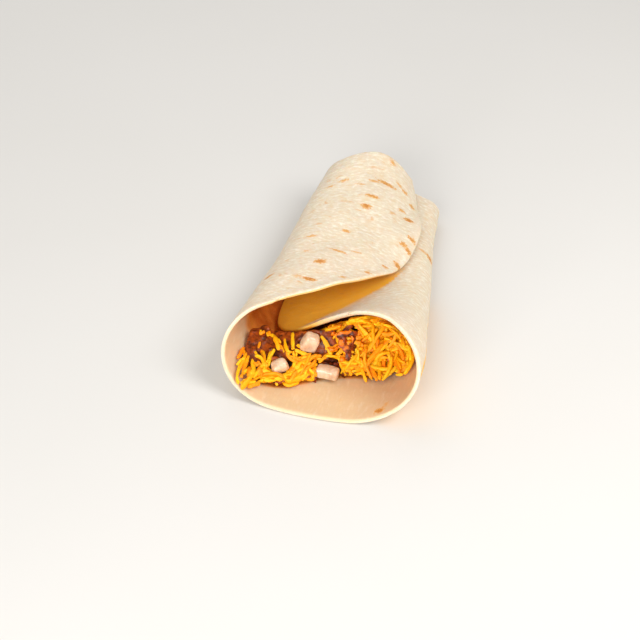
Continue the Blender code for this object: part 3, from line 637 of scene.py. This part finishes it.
def core_of(node, name):
    """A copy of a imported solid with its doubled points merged."""
    made = NODES[node].copy()
    made.data = NODES[node].data.copy()
    made.name = name
    made.parent = None
    bpy.context.scene.collection.objects.link(made)
    select_only(made)
    bpy.ops.object.mode_set(mode="EDIT")
    bpy.ops.mesh.select_all(action="SELECT")
    bpy.ops.mesh.remove_doubles(threshold=1e-6)
    bpy.ops.mesh.normals_make_consistent(inside=False)
    bpy.ops.object.mode_set(mode="OBJECT")
    return made


def remesh(thing, voxel):
    select_only(thing)
    even = thing.modifiers.new("even", "REMESH")
    even.mode = "VOXEL"
    even.voxel_size = voxel / 1000
    even.use_smooth_shade = True
    bpy.ops.object.modifier_apply(modifier="even")


def in_roll(point):
    """True where nothing lies between a point and the middle of the room in the roll beside it."""
    start = (np.array([ROOM_MIDDLE[0], point[1], ROOM_MIDDLE[1]]) - SHIFT) / 1000
    way = (np.asarray(point) - SHIFT) / 1000 - start
    return dough_tree.ray_cast(Vector(start), Vector(way), float(np.linalg.norm(way)))[0] is None


draw = random.Random(31)
mash = core_of("refried_beans", "bean_mash")
lumps = []
for index in range(BEAN_COUNT):
    x, z = draw.uniform(*BEAN_ACROSS), draw.uniform(*BEAN_HEIGHTS)
    long, thick = BEAN_SIZES[draw.randrange(3)]
    y = float(face_at(np.array(x), np.array(z))) + 1.6 + 0.45 * thick
    bpy.ops.object.select_all(action="DESELECT")
    bpy.ops.mesh.primitive_uv_sphere_add(
        segments=16, ring_count=10, radius=0.5,
        location=((x - SHIFT[0]) / 1000, (y - SHIFT[1]) / 1000, (z - SHIFT[2]) / 1000),
        scale=(long / 1000, thick / 1000, thick * 1.25 / 1000),
        rotation=(draw.uniform(-0.5, 0.5), draw.uniform(-1.5, 1.5), draw.uniform(-0.5, 0.5)),
    )
    lumps.append(bpy.context.active_object)
kept = []
for lump in lumps:
    middle = Vector(np.mean([lump.matrix_world @ p.co for p in lump.data.vertices], axis=0))
    if dough_tree.find_nearest(middle)[3] > BEAN_CLEAR / 1000 and in_roll(np.array(middle) * 1000 + SHIFT):
        kept.append(lump)
    else:
        bpy.data.objects.remove(lump)
bpy.ops.object.select_all(action="DESELECT")
for lump in kept:
    lump.select_set(True)
mash.select_set(True)
bpy.context.view_layer.objects.active = mash
bpy.ops.object.join()
remesh(mash, BEANS_VOXEL)
points = points_of(mash.data)
here = points * 1000 + SHIFT
open_face = ease((face_at(here[:, 0], here[:, 2]) + FACE_DEEP - here[:, 1]) / FACE_FADES)
shown = open_face > 0.01
rough = np.zeros(len(points))
rough[shown] = 0.55 * cloudy(here[shown], 3.1, 3, 1.7) + 0.25 * cloudy(here[shown], 1.3, 2, 4.4)
points += normals_of(mash.data) * (rough * open_face)[:, None] / 1000
place_points(mash.data, points)
smooth(mash.data)

BEAN_BROWN = linear(128, 54, 12)
BEAN_RED = linear(176, 80, 14)
BEAN_DARK = linear(54, 20, 8)
BEAN_TAN = linear(206, 118, 34)

paste, paste_shader, start = new_material(
    "beans", Subsurface_Weight=0.05, Subsurface_Scale=0.002, Specular_IOR_Level=0.4,
)
spot = start.node("TexCoord", {}, {}, 3)
blobs = spot.clouds(260.0, 4.0, 0.6)
flecks = spot.clouds(900.0, 3.0, 0.6)
skins = spot.clouds(430.0, 2.0, 0.5, 0.8)
base = start.colour(BEAN_BROWN)
base = base.tint(BEAN_RED, blobs.between(0.46, 0.64) * 0.8).tint(BEAN_DARK, blobs.between(0.5, 0.36) * 0.85)
base = base.tint(BEAN_TAN, flecks.between(0.62, 0.74) * 0.5).tint(BEAN_DARK, skins.between(0.62, 0.72) * 0.7)
give(
    paste_shader, Base_Color=base, Roughness=0.22 + 0.34 * flecks,
    Normal=start.bumped(blobs * 0.6 + flecks * 0.5, 0.0006),
)
mash.data.materials.clear()
mash.data.materials.append(paste)
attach(mash, "root")
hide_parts("refried_beans")

# Onion: white onion cut into dice of about 8 mm. A die is a short pile of the bulb's curved
# layers, so two of its faces are rounded and its cut ends show the layers' lines. It is moist
# and lets light through. The dice are pressed into the filling's face.
ONION_DICE = (
    (-9.5, 18.0, (8.0, 6.6, 9.4), (12, 24, 20)),
    (0.5, 6.5, (11.0, 6.5, 6.0), (8, 3, -4)),
    (-21.5, 10.5, (8.0, 6.0, 6.5), (20, -18, 30)),
)
ONION_STANDS_OUT = 1.2
ONION_BEVEL = 2.1
ONION_BOW, ONION_SETS_BACK = 0.1, 0.12        # its layers are bowed, as shares of half its width
ONION_LEANS = 0.1                             # and its cut sides lean
ONION_UNEVEN, ONION_UNEVEN_LENGTH = 0.3, 3.6
ONION_PALE = linear(218, 192, 164)
ONION_CLEAR = linear(196, 154, 118)

flesh, flesh_shader, start = new_material(
    "onion", Subsurface_Weight=0.8, Subsurface_Scale=0.003, Coat_Roughness=0.12,
)
flesh_shader.inputs["Subsurface Radius"].default_value = (1.0, 0.75, 0.5)
spot = start.node("TexCoord", {}, {}, 3)
lines = spot.stretched((1.0, 1.0, 3.5)).clouds(620.0, 2.0, 0.5)
haze = spot.clouds(230.0, 2.0, 0.5)
base = start.colour(ONION_PALE)
base = base.tint(ONION_CLEAR, (lines * 0.4 + haze * 0.7).between(0.48, 0.7) * 0.7)
give(
    flesh_shader, Base_Color=base, Roughness=0.2 + 0.2 * haze,
    Coat_Weight=0.3 + 0.2 * haze, Normal=start.bumped(lines, 0.00018),
)
dice = []
for number, (x, z, sizes, turns) in enumerate(ONION_DICE, 1):
    middle = np.array([x, float(face_at(np.array(x), np.array(z))) - ONION_STANDS_OUT, z])
    bpy.ops.object.select_all(action="DESELECT")
    bpy.ops.mesh.primitive_cube_add(
        size=1, location=(middle - SHIFT) / 1000, rotation=[math.radians(t) for t in turns],
        scale=[size / 1000 for size in sizes],
    )
    die = bpy.context.active_object
    die.name = f"onion_die_{number}"
    bpy.ops.object.transform_apply(location=False, rotation=False, scale=True)
    soft = die.modifiers.new("edges", "BEVEL")
    soft.width = ONION_BEVEL / 1000
    soft.segments = 3
    bpy.ops.object.modifier_apply(modifier="edges")
    finer = die.modifiers.new("finer", "SUBSURF")
    finer.levels = 2
    finer.render_levels = 2
    bpy.ops.object.modifier_apply(modifier="finer")
    shape = points_of(die.data) * 1000
    half = np.array(sizes) / 2
    shape[:, 1] += ONION_BOW * (half[0] - shape[:, 0] ** 2 / half[0]) - ONION_SETS_BACK * half[0]
    shape[:, 0] *= 1 + ONION_LEANS * np.sin(3.1 * number + shape[:, 2] / half[2])
    uneven = ONION_UNEVEN * cloudy(shape, ONION_UNEVEN_LENGTH, 2, 2.0 * number)
    shape += normals_of(die.data) * uneven[:, None]
    place_points(die.data, shape / 1000)
    smooth(die.data)
    bpy.ops.object.transform_apply(location=True, rotation=True, scale=True)
    die.data.materials.append(flesh)
    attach(die, "root")
    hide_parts(f"onion_dice_{number}")
    dice.append((middle, max(sizes)))

# Cheese: a block of yellow-orange cheddar put through a coarse grater. The shreds are soft, bent
# and of uneven length, thick on the right of the roll, spilled along the foot of the filling, and
# a few have fallen on the beans. Deeper in they stick together with sauce, in a core coloured dark
# red-brown: partly sauce, and partly painted shade for the gaps between the shreds.
CORE_VOXEL = 0.66
SHRED_WIDTH = 1.95
SHRED_HEIGHT = 1.35
SHRED_RINGS = 9
SHRED_BEVEL = 0.17
SHRED_RINGS_TO = 0.32        # the rings are cut as far as this from the middle, then spread to this share
SHRED_SPREAD = 0.88
SHRED_END, SHRED_TAPER = 0.6, 0.16            # how wide its ends are, and over what share it narrows
SHRED_BULGE, SHRED_RIPPLE = 0.17, 0.12
SHRED_STEPS = 15
CORE_SINKS = 2.2             # the core lies this far inside its solid where the shreds cover it
CORE_RAISED_FROM, CORE_RAISED_OVER = -0.1, 0.9
# The line on the dough that the shreds reach forward to, from left to right, with the dough's rise
FOOT_LINE = np.array([
    (-42.0, -116.0, 8.5), (-39.4, -119.0, 6.0), (-35.7, -122.6, 3.6), (-32.6, -121.0, 2.2),
    (-30.0, -117.4, 1.3), (-27.0, -114.0, 0.6), (-20.0, -112.6, 0.0), (-15.7, -111.8, 0.0),
    (-11.3, -107.7, 0.0), (-4.7, -106.0, 0.0), (0.7, -103.6, 0.0), (7.7, -97.5, 0.0),
    (15.1, -97.5, 0.0), (24.0, -99.6, 0.3), (30.7, -98.5, 1.8), (36.5, -96.0, 4.7), (40.1, -94.6, 7.8),
])
FOOT_INSET = 0.8
FOOT_LOW, FOOT_HIGH = 2.5, 9.0                # it holds at this height, and above it fades over this
KEEP_OFF = 0.55              # a shred's middle line stays this far off the dough, besides half its width
KEEP_OFF_DICE = 0.4
BEANS_BEHIND = 1.1           # the beans' face lies this far behind the shreds that lie on it
UP_FACE = 0.81               # height gained for each millimetre along the leaning face

core = core_of("shredded_cheese", "cheese_core")
remesh(core, CORE_VOXEL)
points = points_of(core.data)
here = points * 1000 + SHIFT
deep = here[:, 1] - face_at(here[:, 0], here[:, 2])
front_part = ease((FACE_DEEP - deep) / FACE_FADES)
shown = front_part > 0.01
rough = np.zeros(len(points))
rough[shown] = 0.7 * cloudy(here[shown], 2.4, 3, 7.7)
sunk = CORE_SINKS * front_part
points += normals_of(core.data) * (rough * front_part - sunk)[:, None] / 1000
place_points(core.data, points)
smooth(core.data)
# lighter orange where the core stands at or in front of the face, darker behind it: painted shade
add_attribute(core.data, "raised", ease((CORE_RAISED_FROM - deep) / CORE_RAISED_OVER))

CHEESE_YELLOW = linear(255, 168, 0)
CHEESE_ORANGE = linear(246, 128, 0)
CHEESE_PALE = linear(255, 198, 24)
SAUCE_RED = linear(160, 62, 8)
SAUCE_AND_SHADE_DARK = linear(84, 30, 8)

sauce_and_shade, sauce_and_shade_shader, start = new_material("cheese in sauce and painted shade", Subsurface_Weight=0.1, Subsurface_Scale=0.002)
spot = start.node("TexCoord", {}, {}, 3)
blobs = spot.clouds(330.0, 4.0, 0.6)
flecks = spot.clouds(1100.0, 2.0, 0.5)
raised = start.attribute("raised")
# partly sauce and partly painted shade: the core that shows between the shreds is dark red-brown
base = start.colour(SAUCE_RED)
base = base.tint(SAUCE_AND_SHADE_DARK, blobs.between(0.58, 0.44))
base = base.tint(CHEESE_ORANGE, (raised + blobs - 0.5).between(0.5, 0.95))
give(
    sauce_and_shade_shader, Base_Color=base, Roughness=0.26 + 0.3 * flecks,
    Normal=start.bumped(blobs * 0.7 + flecks * 0.4, 0.0004),
)
core.data.materials.clear()
core.data.materials.append(sauce_and_shade)
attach(core, "root")
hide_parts("shredded_cheese")

# One straight shred, 1 wide, 1 high and 1 long: a block with softened edges, cut across into
# rings so that it can bend
bpy.ops.object.select_all(action="DESELECT")
bpy.ops.mesh.primitive_cube_add(size=1)
pattern = bpy.context.active_object
soft = pattern.modifiers.new("edges", "BEVEL")
soft.width = SHRED_BEVEL
soft.segments = 1
bpy.ops.object.modifier_apply(modifier="edges")
bpy.ops.object.mode_set(mode="EDIT")
for ring in range(1, SHRED_RINGS):
    bpy.ops.mesh.select_all(action="SELECT")
    cut = -SHRED_RINGS_TO + 2 * SHRED_RINGS_TO * (ring - 1) / (SHRED_RINGS - 2)
    bpy.ops.mesh.bisect(plane_co=(cut, 0, 0), plane_no=(1, 0, 0))
bpy.ops.object.mode_set(mode="OBJECT")
pattern_points = points_of(pattern.data)
on_shred = pattern_points[:, 0]
spread = np.clip(on_shred * SHRED_SPREAD / SHRED_RINGS_TO, -SHRED_SPREAD, SHRED_SPREAD)
past_rings = np.clip((np.abs(on_shred) - SHRED_RINGS_TO) / (0.5 - SHRED_RINGS_TO), 0, 1)
pattern_points[:, 0] = (spread + past_rings * np.sign(on_shred) * (1 - SHRED_SPREAD)) / 2
pattern_faces = [list(face.vertices) for face in pattern.data.polygons]
bpy.data.objects.remove(pattern)

out_of_face = np.array([0.0, -1.0, FACE_SLOPE]) / math.hypot(1.0, FACE_SLOPE)
draw = random.Random(7)


def clear_of_dough(line, room):
    """True where the line's middle has dough below it and lies in the roll, and every point keeps its
    distance from the dough.
    """
    middle = line[len(line) // 2]
    below = dough_tree.ray_cast(Vector((middle - SHIFT) / 1000), Vector((0, 0, -1)), RAY)[0]
    if below is None or not in_roll(middle):
        return False
    for point in line:
        near = dough_tree.find_nearest(Vector((point - SHIFT) / 1000))
        if near[3] * 1000 < room:
            return False
    return True


def bent_shred(line, out, width, thick, twist, phase):
    """The pattern laid along a line, with its flat side towards out, or None where it meets something."""
    if line[:, 2].min() < THICKNESS + thick / 3 or not clear_of_dough(line, KEEP_OFF + width / 2):
        return None
    for middle, size in dice:
        if np.linalg.norm(line - middle, axis=1).min() < size * 0.5 + KEEP_OFF_DICE:
            return None
    t = np.clip(pattern_points[:, 0] + 0.5, 0, 1)
    at = t * (len(line) - 1)
    low = np.clip(at.astype(int), 0, len(line) - 2)
    share_on = (at - low)[:, None]
    centre = line[low] * (1 - share_on) + line[low + 1] * share_on
    ahead = np.gradient(line, axis=0)
    ahead = ahead[low] * (1 - share_on) + ahead[low + 1] * share_on
    ahead /= np.linalg.norm(ahead, axis=1)[:, None]
    side_way = np.cross(ahead, out)
    side_way /= np.linalg.norm(side_way, axis=1)[:, None]
    top_way = np.cross(side_way, ahead)
    angle = twist[0] + twist[1] * (t - 0.5)
    turned_side = side_way * np.cos(angle)[:, None] + top_way * np.sin(angle)[:, None]
    turned_top = top_way * np.cos(angle)[:, None] - side_way * np.sin(angle)[:, None]
    uneven = 1 + SHRED_BULGE * np.sin(t * 9 + phase) + SHRED_RIPPLE * np.sin(t * 23 + 2 * phase)
    narrow = SHRED_END + (1 - SHRED_END) * ease(np.minimum(t, 1 - t) / SHRED_TAPER)
    wide = pattern_points[:, 1] * width * uneven * narrow
    high = pattern_points[:, 2] * thick * (2 - uneven) * narrow
    return centre + turned_side * wide[:, None] + turned_top * high[:, None]


def rise_at(x):
    return np.interp(x, FOOT_LINE[:, 0], FOOT_LINE[:, 2])


def shown_face(x, z):
    """The face that the shreds make: at its foot they reach forward to the foot line."""
    foot = np.interp(x, FOOT_LINE[:, 0], FOOT_LINE[:, 1]) + FOOT_INSET
    low = FOOT_LOW + rise_at(x)
    return face_at(x, z) + (foot - face_at(x, low)) * ease((low + FOOT_HIGH - z) / FOOT_HIGH)


def shred_on_face(x, z, turn, length, bend, lift, tilt, arch):
    """The middle line of a shred that lies on the filling's face."""
    s = np.linspace(-0.5, 0.5, SHRED_STEPS) * length
    side = bend * s * s - bend * length * length / 12
    off = lift + tilt * s + arch * (0.25 - (s / length) ** 2)
    shorter = 1.0
    for _ in range(3):
        line_x = x + (s * math.cos(turn) - side * math.sin(turn)) * shorter
        line_z = z + (s * math.sin(turn) + side * math.cos(turn)) * UP_FACE * shorter
        over_beans = ease((line_z - 9) / 3) * ease((12 - line_x) / 3)
        line_y = shown_face(line_x, line_z) + BEANS_BEHIND * over_beans
        line = np.stack([line_x, line_y, line_z], -1) + out_of_face * off[:, None]
        shorter *= length / np.linalg.norm(np.diff(line, axis=0), axis=1).sum()
    return line


def shred_on_dough(at_u, at_v, turn, length, bend, lift):
    """The middle line of a shred that sticks to the dough, and which way is out of the dough."""
    s = np.linspace(-0.5, 0.5, SHRED_STEPS) * length
    side = bend * s * s
    place, inward = rolled(
        at_u + s * math.cos(turn) - side * math.sin(turn), at_v + s * math.sin(turn) + side * math.cos(turn),
    )
    return place + inward * (THICKNESS / 2 + lift), inward[len(s) // 2]


def joined_shreds(name, every):
    """One mesh from all the shreds' points, each with a shade of its own."""
    count = len(pattern_points)
    mesh = bpy.data.meshes.new(name)
    faces = [[i + n * count for i in face] for n in range(len(every)) for face in pattern_faces]
    mesh.from_pydata(((np.concatenate([p for p, _ in every]) - SHIFT) / 1000).tolist(), [], faces)
    add_attribute(mesh, "shade", np.repeat([shade for _, shade in every], count))
    smooth(mesh)
    made = bpy.data.objects.new(name, mesh)
    bpy.context.scene.collection.objects.link(made)
    return made


# Where shreds lie: number, range across, range of heights, turn and its spread, lengths, and how far
# in front of the face
PILES = (
    (60, (8.0, 43.0), (2.5, 37.0), 1.0, 1.3, (6.0, 15.0), (-2.4, -0.8)),
    (50, (10.0, 43.0), (2.5, 37.0), 1.0, 1.3, (6.0, 16.0), (-0.6, 1.2)),
    (36, (15.0, 41.0), (3.0, 28.0), 1.2, 1.0, (8.0, 16.0), (1.2, 3.6)),
    (80, (-43.0, 14.0), (2.4, 8.0), 0.1, 0.9, (4.0, 12.0), (-1.5, 0.6)),
    (70, (-41.0, 12.0), (2.4, 12.0), 0.2, 1.0, (5.0, 13.0), (0.0, 2.2)),
    (30, (36.0, 44.0), (2.4, 26.0), 1.2, 0.8, (4.0, 11.0), (-1.0, 1.0)),
    (26, (-14.0, 14.0), (8.0, 26.0), 0.9, 1.1, (6.0, 13.0), (0.2, 2.4)),
    (9, (-32.0, -10.0), (11.0, 17.5), -0.6, 0.4, (8.0, 14.0), (0.6, 2.4)),
)
UNDER_ARCH = 40              # as many stick to the inner flap's underside, just behind its lip
CRUMBS = 60
TRIES, UNDER_ARCH_TRIES, CRUMB_TRIES = 12, 2, 3     # how often a place is sought for each


def drawn_size(thin=1.0):
    width = SHRED_WIDTH * draw.uniform(0.7, 1.15) * thin
    thick = SHRED_HEIGHT * draw.uniform(0.7, 1.2) * thin
    return width, thick, (draw.gauss(0, 0.6), draw.gauss(0, 0.9)), draw.uniform(0, 6.3)


shreds = []
for count, span, heights, turn, spread, lengths, lifts in PILES:
    laid = 0
    for attempt in range(count * TRIES):
        if laid == count:
            break
        x = draw.uniform(*span)
        line = shred_on_face(
            x, draw.uniform(*heights) * (1 - 0.45 * ease((-24 - x) / 12)) + rise_at(x),
            draw.gauss(turn, spread), draw.uniform(*lengths),
            draw.gauss(0, 0.03), draw.uniform(*lifts), draw.gauss(0, 0.11), draw.uniform(-1.0, 3.4),
        )
        made = bent_shred(line, out_of_face, *drawn_size())
        if made is not None:
            shreds.append((made, draw.random()))
            laid += 1
for attempt in range(UNDER_ARCH * UNDER_ARCH_TRIES):
    at_u = draw.uniform(66, 108)
    lip = -math.sqrt(RADIUS ** 2 - (at_u - MIDDLE_OFFSET) ** 2)
    line, out = shred_on_dough(
        at_u, lip + draw.uniform(4, 16), draw.gauss(0, 0.7), draw.uniform(4, 10), draw.gauss(0, 0.03),
        draw.uniform(1.9, 4.5),
    )
    made = bent_shred(line, out, *drawn_size())
    if made is not None:
        shreds.append((made, draw.random()))
for attempt in range(CRUMBS * CRUMB_TRIES):
    line = shred_on_face(
        draw.uniform(-40, 42), draw.uniform(2, 16), draw.uniform(0, 3.1), draw.uniform(1.6, 4.5),
        0.0, draw.uniform(0.4, 2.4), draw.gauss(0, 0.2), 0.0,
    )
    made = bent_shred(line, out_of_face, *drawn_size(0.75))
    if made is not None:
        shreds.append((made, draw.random()))
grated = joined_shreds("grated_cheese", shreds)

curds, curds_shader, start = new_material(
    "cheese", Subsurface_Weight=0.35, Subsurface_Scale=0.002, Specular_IOR_Level=0.25, Coat_Roughness=0.3,
)
curds_shader.inputs["Subsurface Radius"].default_value = (1.0, 0.55, 0.12)
spot = start.node("TexCoord", {}, {}, 3)
grainy = spot.clouds(1400.0, 3.0, 0.6)
broad = spot.clouds(160.0, 2.0, 0.5)
own = start.attribute("shade")
base = start.colour(CHEESE_YELLOW)
base = base.tint(CHEESE_ORANGE, (own + broad - 0.5).between(0.55, 1.0) * 0.7)
base = base.tint(CHEESE_PALE, (own - broad + 0.4).between(0.45, 0.1) * 0.6)
base = base.tint(CHEESE_PALE, grainy.between(0.58, 0.75) * 0.35)
give(
    curds_shader, Base_Color=base, Roughness=0.4 + 0.25 * grainy,
    Coat_Weight=0.02 + 0.1 * broad, Normal=start.bumped(grainy, 0.00025),
)
grated.data.materials.append(curds)
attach(grated, "root")
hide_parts("shredded_cheese")

# A plain pale floor and soft studio light: a key light from above on the right, a low, broad light
# from in front that reaches into the mouth, a faint one from behind, and an even, pale room.
bpy.ops.object.select_all(action="DESELECT")
bpy.ops.mesh.primitive_plane_add(size=6, location=(0, 0, -0.0002))
floor = bpy.context.active_object
floor.name = "floor"
pale, pale_shader, start = new_material("floor", Roughness=0.8)
spot = start.node("TexCoord", {}, {}, 3)
base = start.colour(linear(226, 224, 221))
give(pale_shader, Base_Color=base.tint(linear(222, 220, 216), spot.clouds(6.0, 2.0)))
floor.data.materials.append(pale)

# Name, place in metres, size, power, colour
LIGHTS = (
    ("key", (0.6, -0.25, 0.72), 0.5, 5.2, (1.0, 0.985, 0.965)),
    ("front", (-0.1, -1.15, 0.36), 0.7, 12.5, (1.0, 0.985, 0.965)),
    ("back", (-0.4, 0.7, 0.8), 0.7, 2.0, (1.0, 1.0, 1.0)),
)
for name, where, size, power, tone in LIGHTS:
    lamp = bpy.data.lights.new(name, "AREA")
    lamp.size = size
    lamp.energy = power
    lamp.color = tone
    stand = bpy.data.objects.new(name, lamp)
    stand.location = where
    stand.rotation_euler = (-Vector(where)).to_track_quat("-Z", "Y").to_euler()
    bpy.context.scene.collection.objects.link(stand)
room = bpy.data.worlds.new("room")
room.use_nodes = True
room.node_tree.nodes["Background"].inputs["Color"].default_value = (1.0, 0.985, 0.96, 1)
room.node_tree.nodes["Background"].inputs["Strength"].default_value = 0.5
bpy.context.scene.world = room
bpy.context.scene.view_settings.view_transform = "Standard"
